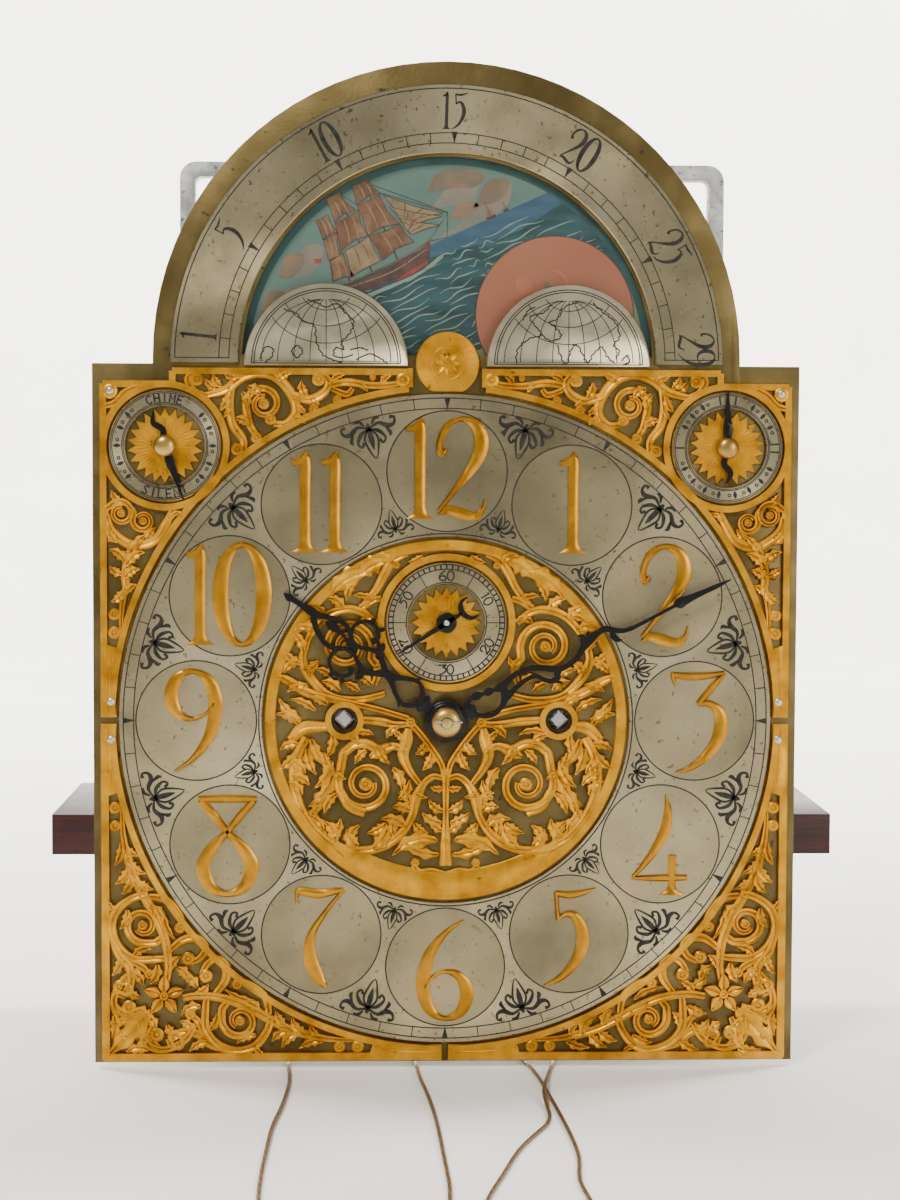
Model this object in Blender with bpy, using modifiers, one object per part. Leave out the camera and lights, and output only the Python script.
"""Hall clock movement with a break-arch moon dial on its seat board, without its case, weights and pendulum.

The front of the dial faces -Y and +Z is up. The origin is the centre of the seat board's underside, the face
that rests on the cheeks of the case. Lengths below are millimetres; MM turns them into metres.
"""

import math

import bmesh
import bpy
from mathutils import Matrix, Vector

MM = 0.001
GAP = 0.3

# Seat board
BOARD_WIDTH, BOARD_DEPTH, BOARD_THICK = 410.0, 120.0, 21.0

# Dial: the hand centre is the point that everything on the dial is measured from.
CENTRE_Z = 75.5
DIAL_Y = -102.0
DIAL_HALF = 177.8
DIAL_BOTTOM, SHOULDER = -174.9, 179.3
ARCH_Z, ARCH_R = 182.4, 147.5
DIAL_THICK = 2.5
LAYER_THICK = 1.5
CHAPTER_R = 165.2
CHAPTER_IN = 92.8
FRET_R = 91.8
FRET_EDGE = 176.0
MOON_Z = 180.0
LUNAR_R, LUNAR_IN = 138.6, 104.6
APERTURE_R, SILL = 103.0, 4.0
HEMISPHERE_X, HEMISPHERE_Z, HEMISPHERE_R = 60.8, 178.5, 41.0
MEDALLION_R = 16.0
SUBDIAL_X, SUBDIAL_Z, SUBDIAL_R, SUBDIAL_IN = 141.4, 138.2, 28.2, 19.7
SECONDS_Z, SECONDS_R, SECONDS_IN = 49.7, 30.6, 19.2
LEFT_WIND, RIGHT_WIND = -51.4, 57.1
WIND_HOLE = 6.3

# Movement: the plates stand on the board, and depths are measured back from the dial's front face.
FRONT_PLATE, BACK_PLATE, PLATE_THICK = 50.0, 125.0, 3.5
PLATE_LEFT, PLATE_RIGHT, PLATE_TOP = -108.0, 114.0, 127.0
PLATE_FOOT = BOARD_THICK + GAP - CENTRE_Z
PIVOT_R, PIVOT_HOLE = 1.2, 1.5
FEW_LEAVES = 8
THIRD = (17.4, 37.2)
PALLET_AXIS = (0.0, 76.7)
CHIME_SECOND = (-60.3, 50.2)
FLY = (-41.3, 77.2)
CHIME_BARREL = (-70.3, 101.2)
MINUTE_WHEEL = (19.8, -19.8)
PILLARS = ((-97.0, -42.0), (103.0, -42.0), (-97.0, 118.0), (103.0, 118.0))
DIAL_FEET = ((-80.0, -35.0), (88.0, -35.0), (-96.0, 98.0), (100.0, 98.0))
DRUM_R, DRUM_FRONT, DRUM_BACK = 25.0, 62.0, 104.0
GREAT_Y, GREAT_THICK = 108.0, 3.5
SQUARE = 7.0

# Chime frame behind the movement, with a row of hammers on its rod
FRAME_LEFT, FRAME_RIGHT, FRAME_TOP = -145.0, 158.5, 297.0
FRAME_Y, FRAME_DEPTH, FRAME_BAND, FRAME_ROUND = 132.0, 12.0, 8.2, 9.0
HAMMER_ROD_Z, HAMMER_RISE = 215.0, 53.0
HAMMERS, HAMMER_PITCH, LAST_HAMMER_X = 8, 33.0, 139.5

# Weight cables, at the bench that the dial's lower edge stands just clear of
CABLE_R = 1.0
BENCH = -178.0
HOOK_Y, LEFT_HOOK_X, RIGHT_HOOK_X = 95.0, -20.0, 66.0
HOOK_HOLE, NUT_HIGH = 3.0, 2.6
SLOT_HALF_X, SLOT_Y0, SLOT_Y1 = 10.0, 62.0, 106.0
CABLE_OFF_DRUM = DRUM_R + CABLE_R + 0.4
COIL_Y, COIL_OUT, COIL_IN, COIL_HIGH = -275.0, 19.5, 6.5, 12.5
LEFT_COIL_X, RIGHT_COIL_X = -44.0, 31.0

# The hands' rest angles, clockwise from twelve
HOUR_ANGLE, MINUTE_ANGLE, SECOND_ANGLE = -51.7, 63.2, 237.0
SILENT_ANGLE, TUNE_ANGLE = 161.0, 0.0


def clear_scene():
    for found in list(bpy.data.objects):
        bpy.data.objects.remove(found, do_unlink=True)


def material(name, colour, roughness, metallic):
    made = bpy.data.materials.new(name)
    made.use_nodes = True
    shader = made.node_tree.nodes["Principled BSDF"]
    shader.inputs["Base Color"].default_value = (*colour, 1.0)
    shader.inputs["Roughness"].default_value = roughness
    shader.inputs["Metallic"].default_value = metallic
    return made


# ---------------------------------------------------------------- outlines, as lists of (x, z) in millimetres


def arc(cx, cz, r, start, end, count):
    """Points on an arc, with angles in degrees anticlockwise from +x, both ends included."""
    angles = [math.radians(start + (end - start) * i / count) for i in range(count + 1)]
    return [(cx + r * math.cos(a), cz + r * math.sin(a)) for a in angles]


def circle(cx, cz, r, count):
    return arc(cx, cz, r, 0, 360, count)[:-1]


def box(left, low, right, high):
    return [(left, low), (right, low), (right, high), (left, high)]


def turned_by(points, clockwise):
    """The outline turned clockwise, as seen from the front."""
    c, s = math.cos(math.radians(clockwise)), math.sin(math.radians(clockwise))
    return [(x * c + z * s, z * c - x * s) for x, z in points]


def mirrored(points):
    return [(-x, z) for x, z in reversed(points)]


def toothed(teeth, tip, root):
    """A rim of pointed teeth on a wheel, or of square leaves on a pinion."""
    points = []
    square = ((0.0, root), (0.3, tip), (0.7, tip))
    pointed = ((0.0, root), (0.5, tip))
    for i in range(teeth):
        for part, r in square if teeth <= FEW_LEAVES else pointed:
            a = math.tau * (i + part) / teeth
            points.append((r * math.cos(a), r * math.sin(a)))
    return points


def crossings(inner, outer, arms, arm):
    """The openings between a wheel's arms."""
    openings = []
    for i in range(arms):
        middle = 360 * (i + 0.5) / arms
        half_out = 180 / arms - math.degrees(math.asin(arm / 2 / outer))
        half_in = 180 / arms - math.degrees(math.asin(arm / 2 / inner))
        far = arc(0, 0, outer, middle - half_out, middle + half_out, 4)
        near = arc(0, 0, inner, middle + half_in, middle - half_in, 1)
        openings.append(far + near)
    return openings


# ---------------------------------------------------------------- solids


def keep(obj, name, finish, collection):
    """Names an object, gives it its material and shades its round faces smooth."""
    obj.name = name
    obj.data.name = name
    obj.data.materials.clear()
    obj.data.materials.append(finish)
    for other in list(obj.users_collection):
        other.objects.unlink(obj)
    collection.objects.link(obj)
    obj.data.shade_smooth()
    obj.data.set_sharp_from_angle(angle=math.radians(30))
    return obj


def mesh_of(obj):
    """Replaces a curve, or a mesh with modifiers, by the plain closed mesh it makes."""
    bpy.context.view_layer.update()
    evaluated = obj.evaluated_get(bpy.context.evaluated_depsgraph_get())
    mesh = bpy.data.meshes.new_from_object(evaluated)
    shape = bmesh.new()
    shape.from_mesh(mesh)
    bmesh.ops.remove_doubles(shape, verts=shape.verts, dist=1e-6)
    bmesh.ops.dissolve_degenerate(shape, edges=shape.edges, dist=1e-6)
    bmesh.ops.recalc_face_normals(shape, faces=shape.faces)
    shape.to_mesh(mesh)
    shape.free()
    made = bpy.data.objects.new(obj.name, mesh)
    made.matrix_world = obj.matrix_world.copy()
    bpy.context.scene.collection.objects.link(made)
    bpy.data.objects.remove(obj, do_unlink=True)
    return made


def flat(outlines, depth, thick, axis=(0.0, 0.0), up="Z"):
    """A flat piece from an outline and its holes. Its front face is at depth, and axis is where its origin goes.

    With up="Y" the outline lies flat, as (x, y), and depth is the height of its lower face."""
    data = bpy.data.curves.new("flat", "CURVE")
    data.dimensions = "2D"
    data.fill_mode = "BOTH"
    data.extrude = thick / 2 * MM
    for outline in outlines:
        spline = data.splines.new("POLY")
        spline.points.add(len(outline) - 1)
        spline.use_cyclic_u = True
        for point, (x, z) in zip(spline.points, outline):
            point.co = (x * MM, z * MM, 0.0, 1.0)
    obj = bpy.data.objects.new("flat", data)
    bpy.context.scene.collection.objects.link(obj)
    if up == "Z":
        obj.rotation_euler = (math.pi / 2, 0.0, 0.0)
        obj.location = at(axis[0], depth + thick / 2, axis[1])
    else:
        obj.location = at(axis[0], axis[1], depth + thick / 2)
    return mesh_of(obj)


def at(x, y, z):
    """A place in metres from millimetres beside, behind and above the hand centre."""
    return Vector((x, y + DIAL_Y, z + CENTRE_Z)) * MM


def turned(profile, axis=(0.0, 0.0), steps=16):
    """A round piece about an arbor, from (depth, radius) points that run from back to front."""
    mesh = bpy.data.meshes.new("turned")
    points = [(r * MM, 0.0, -depth * MM) for depth, r in reversed(profile)]
    mesh.from_pydata(points, [(i, i + 1) for i in range(len(points) - 1)], [])
    obj = bpy.data.objects.new("turned", mesh)
    bpy.context.scene.collection.objects.link(obj)
    screw = obj.modifiers.new("screw", "SCREW")
    screw.steps = steps
    screw.render_steps = steps
    screw.use_merge_vertices = True
    screw.merge_threshold = 1e-6
    obj.rotation_euler = (math.pi / 2, 0.0, 0.0)
    obj.location = at(axis[0], 0.0, axis[1])
    return mesh_of(obj)


def rod(start, end, r, sides=12):
    """A straight round bar between two places."""
    a, b = at(*start), at(*end)
    bpy.ops.mesh.primitive_cylinder_add(vertices=sides, radius=r * MM, depth=(b - a).length)
    obj = bpy.context.object
    turn = (b - a).to_track_quat("Z", "Y").to_matrix().to_4x4()
    obj.matrix_world = Matrix.Translation((a + b) / 2) @ turn
    return mesh_of(obj)


def block(left, near, low, right, far, high):
    """A box between two corners."""
    bpy.ops.mesh.primitive_cube_add(size=1.0)
    obj = bpy.context.object
    a, b = at(left, near, low), at(right, far, high)
    obj.location = (a + b) / 2
    obj.scale = b - a
    bpy.ops.object.transform_apply(location=False, rotation=False, scale=True)
    return mesh_of(obj)


def combined(pieces, operation):
    """The first piece with the others joined to it or cut from it, keeping the first one's origin."""
    first, rest = pieces[0], pieces[1:]
    for other in rest:
        step = first.modifiers.new("step", "BOOLEAN")
        step.operation = operation
        step.object = other
        first = mesh_of(first)
        bpy.data.objects.remove(other, do_unlink=True)
    return first


def joined(*pieces):
    return combined(pieces, "UNION")


def cut(*pieces):
    return combined(pieces, "DIFFERENCE")


def smooth_route(points, spacing):
    """Points about spacing apart on a smooth curve through a route's own points."""
    route = [Vector(p) for p in points]
    ends = [2 * route[0] - route[1]] + route + [2 * route[-1] - route[-2]]
    fine = []
    for p0, p1, p2, p3 in zip(ends, ends[1:], ends[2:], ends[3:]):
        for i in range(24):
            t = i / 24
            square = (2 * p0 - 5 * p1 + 4 * p2 - p3) * t**2
            cube = (3 * p1 - p0 - 3 * p2 + p3) * t**3
            fine.append(0.5 * (2 * p1 + (p2 - p0) * t + square + cube))
    fine.append(route[-1])
    length = sum((b - a).length for a, b in zip(fine, fine[1:]))
    count = max(2, round(length / spacing))
    kept, run, wanted = [fine[0]], 0.0, length / count
    for a, b in zip(fine, fine[1:]):
        step = (b - a).length
        while run + step >= wanted and len(kept) < count:
            kept.append(a.lerp(b, (wanted - run) / step))
            wanted += length / count
        run += step
    kept.append(fine[-1])
    return kept


def tube(points, r, resolution=2):
    """A round wire along points in millimetres about the hand centre."""
    data = bpy.data.curves.new("tube", "CURVE")
    data.dimensions = "3D"
    data.bevel_depth = r * MM
    data.bevel_resolution = resolution
    data.use_fill_caps = True
    spline = data.splines.new("POLY")
    spline.points.add(len(points) - 1)
    for point, place in zip(spline.points, points):
        point.co = (*at(*place), 1.0)
    obj = bpy.data.objects.new("tube", data)
    bpy.context.scene.collection.objects.link(obj)
    return mesh_of(obj)


# ---------------------------------------------------------------- the parts


def seat_board(finish, parts):
    """The board, with a slot for the cable under each drum and a hole for each cable hook."""
    near, far = -DIAL_Y - BOARD_DEPTH / 2, -DIAL_Y + BOARD_DEPTH / 2
    outline = box(-BOARD_WIDTH / 2, near, BOARD_WIDTH / 2, far)
    slots = [
        box(x - SLOT_HALF_X, SLOT_Y0, x + SLOT_HALF_X, SLOT_Y1)
        for x in (LEFT_WIND - CABLE_OFF_DRUM, RIGHT_WIND - CABLE_OFF_DRUM)
    ]
    holes = [circle(x, HOOK_Y, HOOK_HOLE, 12) for x in (LEFT_HOOK_X, RIGHT_HOOK_X)]
    board = flat([outline, *slots, *holes], -CENTRE_Z, BOARD_THICK, up="Y")
    keep(board, "seat_board", finish["wood"], parts)


def plates_and_pillars(finish, parts):
    """The two plates of the movement, drilled for every pivot, and the four pillars between them."""
    pivots = [THIRD, (0.0, SECONDS_Z), PALLET_AXIS, CHIME_SECOND, FLY, CHIME_BARREL]
    small = [circle(x, z, PIVOT_HOLE, 8) for x, z in pivots]
    outline = box(PLATE_LEFT, PLATE_FOOT, PLATE_RIGHT, PLATE_TOP)
    front = [outline, *small, circle(0, 0, 3.3, 12), circle(*MINUTE_WHEEL, PIVOT_HOLE, 8)]
    front += [circle(x, 0, WIND_HOLE, 16) for x in (LEFT_WIND, RIGHT_WIND)]
    front += [circle(x, z, 2.8, 8) for x, z in DIAL_FEET]
    back = [outline, *small[:2], circle(*PALLET_AXIS, 2.6, 12), *small[3:], circle(0, 0, PIVOT_HOLE, 8)]
    back += [circle(x, 0, 2.8, 12) for x in (LEFT_WIND, RIGHT_WIND)]
    keep(flat(front, FRONT_PLATE, PLATE_THICK), "front_plate", finish["brass"], parts)
    keep(flat(back, BACK_PLATE, PLATE_THICK), "back_plate", finish["brass"], parts)
    start, end = FRONT_PLATE + PLATE_THICK + GAP, BACK_PLATE - GAP
    profile = [(end, 0), (end, 6), (end - 6, 6), (end - 9, 4)]
    profile += [(start + 9, 4), (start + 6, 6), (start, 6), (start, 0)]
    for i, place in enumerate(PILLARS):
        keep(turned(profile, place, 10), f"pillar_{i + 1}", finish["brass"], parts)


def dial_plate(finish, parts):
    """The break-arch plate with its moon aperture, the moon disc's stud, and its four riveted feet."""
    stilt = [(ARCH_R, SHOULDER), (DIAL_HALF, SHOULDER), (DIAL_HALF, DIAL_BOTTOM)]
    outline = arc(0, ARCH_Z, ARCH_R, 180, 0, 40) + stilt + mirrored(stilt)
    lift = SILL + MOON_Z - HEMISPHERE_Z
    edge_r = HEMISPHERE_R - 0.5
    rise = math.degrees(math.asin(lift / edge_r))
    side = math.degrees(math.asin(SILL / APERTURE_R))
    right = arc(HEMISPHERE_X, HEMISPHERE_Z, edge_r, rise, 180 - rise, 14)
    aperture = arc(0, MOON_Z, APERTURE_R, 180 - side, side, 30) + right + mirrored(right)
    holes = [circle(0, 0, 8.0, 16), circle(0, SECONDS_Z, 3.0, 12)]
    holes += [circle(x, 0, WIND_HOLE + 0.7, 16) for x in (LEFT_WIND, RIGHT_WIND)]
    holes += [circle(x, SUBDIAL_Z, 2.8, 12) for x in (-SUBDIAL_X, SUBDIAL_X)]
    plate = flat([outline, aperture, *holes], 0.0, DIAL_THICK)
    tip, end = FRONT_PLATE + PLATE_THICK + 4.0, FRONT_PLATE - GAP
    foot = [(tip, 0), (tip, 2.4), (end, 2.4), (end, 4.0), (DIAL_THICK - 1, 4.0), (DIAL_THICK - 1, 0)]
    stud = [(10.0, 0), (10.0, 2.0), (DIAL_THICK - 1, 2.0), (DIAL_THICK - 1, 0)]
    feet = [turned(foot, place, 8) for place in DIAL_FEET]
    keep(joined(plate, turned(stud, (0.0, MOON_Z), 12), *feet), "dial_plate", finish["bronze"], parts)


def on_dial(outlines):
    """A layer laid on the dial plate's face."""
    return flat(outlines, -GAP - LAYER_THICK, LAYER_THICK)


def dial_layers(finish, parts):
    """Rings, frets and half discs on the dial plate."""
    silver, gilt = finish["silver"], finish["gilt"]
    chapter = [circle(0, 0, CHAPTER_R, 80), circle(0, 0, CHAPTER_IN, 48)]
    keep(on_dial(chapter), "chapter_ring", silver, parts)
    winds = [circle(x, 0, WIND_HOLE, 16) for x in (LEFT_WIND, RIGHT_WIND)]
    fret = [circle(0, 0, FRET_R, 48), circle(0, SECONDS_Z, SECONDS_R + 0.5, 32)]
    fret += [circle(0, 0, 8, 16), *winds]
    keep(on_dial(fret), "centre_fret", gilt, parts)
    seconds = [circle(0, SECONDS_Z, SECONDS_R, 32), circle(0, SECONDS_Z, SECONDS_IN, 20)]
    keep(on_dial(seconds), "seconds_ring", silver, parts)
    for name, x in (("silent_ring", -SUBDIAL_X), ("tune_ring", SUBDIAL_X)):
        ring = [circle(x, SUBDIAL_Z, SUBDIAL_R, 32), circle(x, SUBDIAL_Z, SUBDIAL_IN, 20)]
        keep(on_dial(ring), name, silver, parts)
    lunar = arc(0, MOON_Z, LUNAR_R, 180, 0, 48) + arc(0, MOON_Z, LUNAR_IN, 0, 180, 36)
    keep(on_dial([lunar]), "lunar_ring", silver, parts)
    for name, x in (("hemisphere_left", -HEMISPHERE_X), ("hemisphere_right", HEMISPHERE_X)):
        keep(on_dial([arc(x, HEMISPHERE_Z, HEMISPHERE_R, 0, 180, 20)]), name, silver, parts)
    low = math.degrees(math.asin((CHAPTER_R + 0.8 - MOON_Z) / MEDALLION_R))
    keep(on_dial([arc(0, MOON_Z, MEDALLION_R, low, 180 - low, 20)]), "medallion", gilt, parts)
    clear = CHAPTER_R + 0.6
    lower = arc(0, 0, clear, 270, 180, 20)
    lower += [(-FRET_EDGE, 0), (-FRET_EDGE, DIAL_BOTTOM + 1), (0, DIAL_BOTTOM + 1)]
    lower = [(min(x, -GAP), min(z, -GAP)) for x, z in lower]
    inner = -MEDALLION_R - 1.0
    top = math.degrees(math.acos(inner / clear))
    upper = arc(0, 0, clear, 180, top, 20)
    upper += [(inner, 177.6), (-139.5, 177.6), (-139.5, 171), (-FRET_EDGE, 171), (-FRET_EDGE, 0)]
    upper = [(x, max(z, GAP)) for x, z in upper]
    eye = circle(-SUBDIAL_X, SUBDIAL_Z, SUBDIAL_R + 0.6, 32)
    for side, flip in (("left", list), ("right", mirrored)):
        keep(on_dial([flip(lower)]), f"corner_fret_lower_{side}", gilt, parts)
        keep(on_dial([flip(upper), flip(eye)]), f"corner_fret_upper_{side}", gilt, parts)


def moon_disc(finish, parts):
    """The moon disc, with 118 teeth for two lunations, behind the aperture."""
    teeth = []
    for i in range(118):
        a, b = math.tau * i / 118, math.tau * (i + 0.5) / 118
        teeth += [(105.6 * math.cos(a), 105.6 * math.sin(a)), (107.2 * math.cos(b), 107.2 * math.sin(b))]
    disc = flat([teeth, circle(0, 0, 2.4, 12)], 5.0, 1.2, (0.0, MOON_Z))
    keep(disc, "moon_disc", finish["paint"], parts)


def arbor_profile(front, back, r, front_r=PIVOT_R, back_r=PIVOT_R, front_end=None, back_end=None):
    """A plain arbor between the plates with a pivot, or a longer thinner end, at each plate."""
    near = FRONT_PLATE + 0.5 if front_end is None else front_end
    far = BACK_PLATE + PLATE_THICK - 0.5 if back_end is None else back_end
    behind = [(far, 0), (far, back_r), (back, back_r), (back, r)]
    return behind + [(front, r), (front, front_r), (near, front_r), (near, 0)]


def wheel(teeth, tip, depth, thick, place, root_cut, arms=4, bore=0.0, hub=7.0):
    root = tip - root_cut
    outlines = [toothed(teeth, tip, root)]
    if arms:
        outlines += crossings(hub, root - 3.5, arms, 4.0)
    if bore:
        outlines.append(circle(0, 0, bore, 12))
    return flat(outlines, depth, thick, place)


def pinion(leaves, tip, depth, thick, place):
    return flat([toothed(leaves, tip, tip - 1.6)], depth, thick, place)


def going_train(finish, parts):
    """From the centre arbor, which carries the minute hand, up to the escape wheel and its pallets."""
    brass, steel = finish["brass"], finish["steel"]
    between = (FRONT_PLATE + PLATE_THICK + GAP, BACK_PLATE - GAP)
    centre = turned(arbor_profile(42.0, between[1], 2.9, front_r=2.6, front_end=-15.5), (0, 0), 12)
    cannon = pinion(28, 11.2, 42.0, 3.0, (0, 0))
    rim = wheel(45, 36.0, 56.5, 2.5, (0, 0), 2.4)
    centre = joined(centre, rim, pinion(6, 6.0, 107.0, 5.5, (0, 0)), cannon)
    keep(centre, "centre_arbor", brass, parts)
    third = turned(arbor_profile(*between, 1.9), THIRD, 8)
    rim = wheel(48, 16.9, 114.5, 2.5, THIRD, 1.5, hub=4.5)
    third = joined(third, rim, pinion(6, 4.6, 55.5, 4.5, THIRD))
    keep(third, "third_wheel", brass, parts)
    seconds = (0.0, SECONDS_Z)
    escape = turned(arbor_profile(*between, 1.8, front_r=1.2, front_end=-4.8), seconds, 8)
    rim = []
    for i in range(30):
        a, b = math.tau * i / 30, math.tau * (i + 0.85) / 30
        rim += [(18.5 * math.cos(a), 18.5 * math.sin(a)), (15.6 * math.cos(a), 15.6 * math.sin(a))]
        rim += [(15.6 * math.cos(b), 15.6 * math.sin(b))]
    escape_rim = flat([rim, *crossings(5.0, 12.6, 4, 2.4)], 119.4, 2.0, seconds)
    keep(joined(escape, pinion(6, 4.2, 113.6, 4.4, seconds), escape_rim), "escape_wheel", brass, parts)
    pallets = turned(arbor_profile(*between, 1.9, back_r=2.2, back_end=132.6), PALLET_AXIS, 8)
    outer = arc(0, 0, 8.5, 40, 140, 8)
    left_arm = [(-17.5, -6.0), (-19.0, -10.5), (-15.0, -11.5)]
    right_arm = [(-x, z) for x, z in reversed(left_arm)]
    anchor = flat([outer + left_arm + [(-11.0, -4.0), (11.0, -4.0)] + right_arm], 119.5, 2.5, PALLET_AXIS)
    crutch = flat([box(-2.5, -62.0, 2.5, 5.0)], 130.6, 1.6, PALLET_AXIS)
    fork = block(-4.0, 131.8, 14.0, 4.0, 150.0, 17.0)
    keep(joined(pallets, anchor, crutch, fork), "pallets", steel, parts)


def motion_work(finish, parts):
    """The minute wheel and the hour wheel, which together turn the hour hand once in twelve turns."""
    brass = finish["brass"]
    stem = [(53.0, 0), (53.0, PIVOT_R), (49.6, PIVOT_R), (49.6, 2.2), (34.5, 2.2), (34.5, 0)]
    minute = joined(
        turned(stem, MINUTE_WHEEL, 8),
        wheel(42, 16.3, 42.3, 2.5, MINUTE_WHEEL, 1.6, hub=5.0),
        pinion(8, 4.2, 35.5, 4.0, MINUTE_WHEEL),
    )
    keep(minute, "minute_wheel", brass, parts)
    pipe = [(39.5, 3.2), (39.5, 6.0), (38.0, 6.0), (35.0, 6.0), (35.0, 4.6)]
    pipe += [(-6.9, 4.6), (-6.9, 3.2), (39.5, 3.2)]
    hour = joined(turned(pipe, (0, 0), 16), wheel(64, 23.3, 36.0, 2.5, (0, 0), 1.5, bore=4.0, hub=8.5))
    keep(hour, "hour_wheel", brass, parts)


def drum(place, name, finish, parts):
    """A winding drum on its arbor, with the square for the key at the front."""
    end = BACK_PLATE + PLATE_THICK - 0.5
    profile = [(end, 0), (end, 2.5), (BACK_PLATE - GAP, 2.5), (BACK_PLATE - GAP, 4.0), (DRUM_BACK + 2, 4.0)]
    profile += [(DRUM_BACK + 2, 29.0), (DRUM_BACK, 29.0), (DRUM_BACK, DRUM_R), (DRUM_FRONT, DRUM_R)]
    profile += [(DRUM_FRONT, 29.0), (DRUM_FRONT - 2, 29.0), (DRUM_FRONT - 2, 6.0), (47.0, 6.0), (47.0, 0)]
    half = SQUARE / 2
    square = flat([turned_by(box(-half, -half, half, half), 45)], 3.0, 46.0, place)
    keep(joined(turned(profile, place, 20), square), name, finish["brass"], parts)


def great_wheel(place, tip, name, finish, parts):
    made = wheel(72, tip, GREAT_Y, GREAT_THICK, place, 2.0, arms=5, bore=4.4, hub=12.0)
    keep(made, name, finish["brass"], parts)


def chime_train(finish, parts):
    """The chime's second wheel, its fly and the pinned barrel that lifts the hammers."""
    brass, steel = finish["brass"], finish["steel"]
    between = (FRONT_PLATE + PLATE_THICK + GAP, BACK_PLATE - GAP)
    second = turned(arbor_profile(*between, 2.0), CHIME_SECOND, 8)
    rim = wheel(48, 28.0, 114.5, 2.5, CHIME_SECOND, 1.8, hub=6.0)
    keep(joined(second, rim, pinion(8, 6.5, 107.0, 5.5, CHIME_SECOND)), "chime_second_wheel", brass, parts)
    fly = turned(arbor_profile(*between, 1.7), FLY, 8)
    blade = flat([turned_by(box(-20.0, -0.9, 20.0, 0.9), 35)], 66.0, 34.0, FLY)
    keep(joined(fly, blade, pinion(8, 4.5, 113.5, 4.5, FLY)), "chime_fly", steel, parts)
    barrel = arbor_profile(*between, 2.2)
    barrel = [*barrel[:4], (106.0, 2.2), (106.0, 11.5), (66.0, 11.5), (66.0, 2.2), *barrel[4:]]
    gear = wheel(40, 23.5, 114.5, 2.5, CHIME_BARREL, 1.8, hub=6.0)
    keep(joined(turned(barrel, CHIME_BARREL, 14), gear), "chime_barrel", brass, parts)


def chime_frame(finish, parts):
    """The cast frame that stands on the board behind the movement, with the hammers' rod across it."""
    foot = PLATE_FOOT

    def band(inset, r):
        left, right, top = FRAME_LEFT + inset, FRAME_RIGHT - inset, FRAME_TOP - inset
        return arc(left + r, top - r, r, 180, 90, 6) + arc(right - r, top - r, r, 90, 0, 6)

    inner = band(FRAME_BAND, 4.0)
    left, right = FRAME_LEFT, FRAME_RIGHT
    toes_right = [(right, foot), (right - 22, foot), (right - 22, foot + 8), (right - FRAME_BAND, foot + 8)]
    toes_left = [(left + FRAME_BAND, foot + 8), (left + 22, foot + 8), (left + 22, foot), (left, foot)]
    outline = band(0.0, FRAME_ROUND) + toes_right + list(reversed(inner)) + toes_left
    frame = flat([outline], FRAME_Y, FRAME_DEPTH)
    middle = FRAME_Y + FRAME_DEPTH / 2
    bar = rod((left + 2, middle, HAMMER_ROD_Z), (right - 2, middle, HAMMER_ROD_Z), 3.0, 12)
    keep(joined(frame, bar), "chime_frame", finish["iron"], parts)


def hammers(finish, parts):
    """A row of eight hammers on the rod, each an arm with a head that points backwards."""
    middle = FRAME_Y + FRAME_DEPTH / 2
    for i in range(HAMMERS):
        x = LAST_HAMMER_X - HAMMER_PITCH * (HAMMERS - 1 - i)
        hub = rod((x - 4, middle, HAMMER_ROD_Z), (x + 4, middle, HAMMER_ROD_Z), 6.0, 12)
        foot, tip = HAMMER_ROD_Z + 4.5, HAMMER_ROD_Z + HAMMER_RISE
        arm = block(x - 1.5, middle - 2.0, foot, x + 1.5, middle + 2.0, tip)
        top = HAMMER_ROD_Z + HAMMER_RISE
        head = rod((x, middle - 5, top), (x, middle + 18, top), 6.0, 10)
        bore = rod((x - 6, middle, HAMMER_ROD_Z), (x + 6, middle, HAMMER_ROD_Z), 3.5, 10)
        keep(cut(joined(hub, arm, head), bore), f"chime_hammer_{i + 1}", finish["brass"], parts)


def suspension_cock(finish, parts):
    """The cock on the back plate that the pendulum's spring hangs from."""
    near = BACK_PLATE + PLATE_THICK + GAP
    foot = block(-22.0, near, 86.0, 22.0, near + 4.0, 100.0)
    post = block(-6.0, near + 2.0, 88.0, 6.0, near + 22.0, 97.0)
    slit = block(-0.8, near + 12.0, 85.0, 0.8, near + 30.0, 100.0)
    keep(cut(joined(foot, post), slit), "suspension_cock", finish["brass"], parts)


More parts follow.
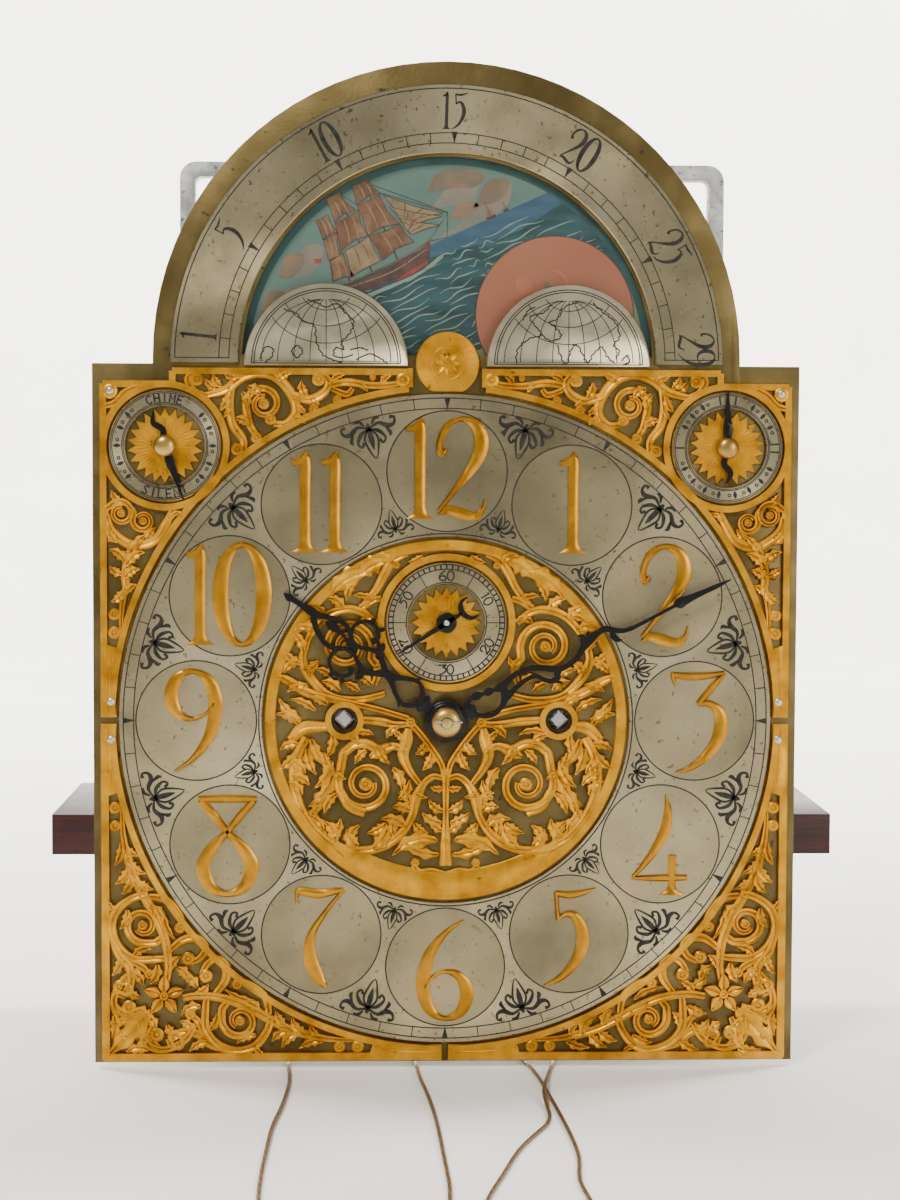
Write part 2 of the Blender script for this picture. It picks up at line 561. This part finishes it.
def hands(finish, parts):
    """Hour, minute and seconds hands, the collet and the two levers of the small dials."""
    blued = finish["blued"]
    half = arc(0, 0, 10.6, 270, 420, 12) + [(3.0, 12.0), (6.0, 13.4), (5.4, 16.4), (8.0, 24.5), (3.0, 34.0)]
    half += [(7.0, 48.0), (16.5, 57.0), (12.5, 66.5), (3.5, 64.5), (7.0, 75.0), (2.0, 88.0)]
    hour = half + [(0.0, 104.4)] + [(-x, z) for x, z in reversed(half)][:-1]
    hour_outline = turned_by(hour, HOUR_ANGLE)
    keep(flat([hour_outline, circle(0, 0, 4.9, 16)], -6.4, 1.2), "hour_hand", blued, parts)
    right = arc(0, 0, 10.6, 270, 420, 12) + [(2.4, 12.0), (5.0, 13.0), (8.2, 23.0), (4.6, 31.0)]
    right += [(2.0, 46.0), (8.6, 60.0), (3.6, 66.0), (1.0, 76.0), (-3.4, 86.0), (-2.0, 93.0), (2.6, 97.0)]
    right += [(1.0, 105.0), (0.4, 130.0), (2.0, 131.5), (0.8, 146.0)]
    left = [(-1.4, 146.0), (-4.0, 131.5), (-2.0, 130.0), (-2.0, 105.0), (-8.0, 92.0), (-8.5, 79.0)]
    left += [(-1.5, 70.0), (-2.5, 58.0), (-8.0, 46.0), (-7.0, 36.0), (-7.0, 17.0), (-2.4, 15.0)]
    left += [(-2.4, 12.0)] + arc(0, 0, 10.6, 120, 260, 12)
    minute = turned_by(right + [(0.0, 160.6)] + left, MINUTE_ANGLE)
    keep(flat([minute, circle(0, 0, 2.9, 16)], -9.2, 1.2), "minute_hand", blued, parts)
    dome = [(-9.6, 2.9), (-9.6, 7.6), (-10.8, 7.4), (-12.4, 6.0), (-13.2, 3.6), (-13.2, 2.9), (-9.6, 2.9)]
    keep(turned(dome, (0, 0), 20), "hand_collet", finish["brass"], parts)
    tail = [(-1.2, -10.0), (-6.0, -13.0), (-5.0, -18.0), (-1.0, -20.0)]
    pointer = arc(0, 0, 5.2, 290, 430, 8) + [(0.6, 28.9), (-0.6, 28.9)] + arc(0, 0, 5.2, 110, 250, 8)
    outline = pointer + tail + mirrored(tail)
    second = flat([turned_by(outline, SECOND_ANGLE), circle(0, 0, 1.5, 12)], -4.2, 0.8, (0, SECONDS_Z))
    keep(second, "seconds_hand", blued, parts)
    for name, x, angle in (("silent_hand", -SUBDIAL_X, SILENT_ANGLE), ("tune_hand", SUBDIAL_X, TUNE_ANGLE)):
        place = (x, SUBDIAL_Z)
        shape = [(1.6, -18.0), (2.6, -9.0), (2.0, 0.0), (2.4, 9.0), (0.6, 28.5)]
        lever = flat([turned_by(shape + [(-a, b) for a, b in reversed(shape)], angle)], -3.6, 1.0, place)
        stem = [(14.0, 0), (14.0, 5.0), (12.0, 5.0), (12.0, 2.4), (-2.8, 2.4), (-2.8, 5.4), (-4.4, 5.4)]
        stem += [(-6.4, 3.4), (-7.0, 0)]
        keep(joined(lever, turned(stem, place, 16)), name, blued, parts)


def cable_hook(x, name, finish, parts):
    """A wire eye under the seat board that the cable's fixed end is tied to, hung from its nut on the board."""
    top, low, r = BOARD_THICK - CENTRE_Z + GAP, -CENTRE_Z - 6.0, 5.0
    stem = [(x, HOOK_Y, z) for z in (top + NUT_HIGH + 1.0, top - 10.0, -CENTRE_Z, low)]
    loop = arc(x, low - r, r, 90, -235, 10)
    wire = tube(stem + [(a, HOOK_Y, z) for a, z in loop[1:]], 1.2)
    nut = flat([circle(x, HOOK_Y, 5.0, 6)], top, NUT_HIGH, up="Y")
    keep(joined(nut, wire), name, finish["steel"], parts)


# The routes, in millimetres beside, behind and above the hand centre. Each starts at its fixed end.
LEFT_OUT = [
    (-77.8, 84, 0), (-77.8, 84, -35), (-77.8, 84, -75), (-77.8, 84, -115), (-77.8, 83, -145),
    (-77.8, 77, -163), (-77.9, 64, -174), (-78.2, 47, -177), (-79, 27, -177), (-80, 7, -177),
    (-78, -31, -177), (-80, -73, -177), (-83, -108, -177), (-84, -146, -177), (-84.5, -185, -177),
    (-83, -222, -177), (-74, -246, -176), (-61.5, -261.5, -174.5),
]
LEFT_BACK = [
    (-20, 95, -94), (-20, 95, -115), (-20, 94, -140), (-19.5, 89, -158), (-19, 76, -171),
    (-18, 58, -176.6), (-17, 34, -177), (-15, 6, -177), (-13, -25, -177), (-10, -54, -177),
    (-7, -96, -177), (-5, -152, -177), (-4, -213, -177), (-12, -243, -176), (-26.5, -261.5, -174.5),
]
RIGHT_OUT = [
    (30.7, 84, 0), (30.7, 84, -35), (30.7, 84, -75), (30.7, 84, -115), (30.8, 83, -145),
    (31, 77, -163), (32, 64, -174), (34.5, 47, -177), (38, 26, -177), (42, 5, -177),
    (46, -22, -177), (48.5, -48, -177), (51.5, -84, -177), (54, -121, -177), (55, -156, -177),
    (52.5, -190, -177), (55, -222, -177), (55.5, -245, -176), (48.5, -261.5, -174.5),
]
RIGHT_BACK = [
    (66, 95, -94), (66, 95, -115), (66, 94, -140), (65.5, 89, -158), (65, 76, -171),
    (63, 58, -176.6), (60, 32, -177), (56, 5, -177), (52.5, -14, -177), (50, -31, -176.2),
    (48.2, -45, -174.2), (46.5, -60, -174.6), (46.8, -76, -176.8), (46.8, -92, -177), (44.5, -106, -177),
    (38, -122, -177), (29, -146, -177), (20, -181, -177), (12, -213, -177), (9, -240, -176),
    (14, -261, -174.5),
]


def cables(finish, parts):
    """Both weight cables: a strand off the drum, a strand back to the hook, and the coil between them."""
    steel = finish["cable"]
    routes = (
        ("left_cable", LEFT_OUT, LEFT_BACK, LEFT_COIL_X),
        ("right_cable", RIGHT_OUT, RIGHT_BACK, RIGHT_COIL_X),
    )
    for name, out, back, coil_x in routes:
        for end, route in (("out", out), ("back", back)):
            length = sum((Vector(b) - Vector(a)).length for a, b in zip(route, route[1:]))
            keep(tube(smooth_route(route, length / 48), CABLE_R), f"{name}_{end}", steel, parts)
        ring = [circle(coil_x, COIL_Y, COIL_OUT, 24), circle(coil_x, COIL_Y, COIL_IN, 16)]
        keep(flat(ring, BENCH, COIL_HIGH, up="Y"), f"{name}_coil", steel, parts)


def main():
    clear_scene()
    parts = bpy.data.collections.new("hall_clock_movement")
    bpy.context.scene.collection.children.link(parts)
    finish = {
        "wood": material("mahogany", (0.16, 0.045, 0.03), 0.4, 0.0),
        "bronze": material("patinated_brass", (0.19, 0.14, 0.06), 0.45, 1.0),
        "brass": material("brass", (0.62, 0.44, 0.17), 0.3, 1.0),
        "gilt": material("gilt_brass", (0.75, 0.55, 0.26), 0.35, 1.0),
        "silver": material("silvered_brass", (0.72, 0.7, 0.64), 0.4, 1.0),
        "steel": material("steel", (0.42, 0.42, 0.42), 0.3, 1.0),
        "blued": material("blued_steel", (0.02, 0.02, 0.035), 0.25, 1.0),
        "iron": material("cast_iron", (0.3, 0.31, 0.32), 0.6, 0.4),
        "paint": material("painted_moon_disc", (0.12, 0.25, 0.24), 0.4, 0.0),
        "cable": material("bronze_cable", (0.28, 0.2, 0.12), 0.45, 0.8),
    }
    seat_board(finish, parts)
    plates_and_pillars(finish, parts)
    dial_plate(finish, parts)
    dial_layers(finish, parts)
    moon_disc(finish, parts)
    going_train(finish, parts)
    motion_work(finish, parts)
    drum((RIGHT_WIND, 0.0), "going_drum", finish, parts)
    drum((LEFT_WIND, 0.0), "chime_drum", finish, parts)
    great_wheel((RIGHT_WIND, 0.0), 50.6, "going_great_wheel", finish, parts)
    great_wheel((LEFT_WIND, 0.0), 44.0, "chime_great_wheel", finish, parts)
    chime_train(finish, parts)
    chime_frame(finish, parts)
    hammers(finish, parts)
    suspension_cock(finish, parts)
    hands(finish, parts)
    cable_hook(LEFT_HOOK_X, "cable_hook_left", finish, parts)
    cable_hook(RIGHT_HOOK_X, "cable_hook_right", finish, parts)
    cables(finish, parts)


main()
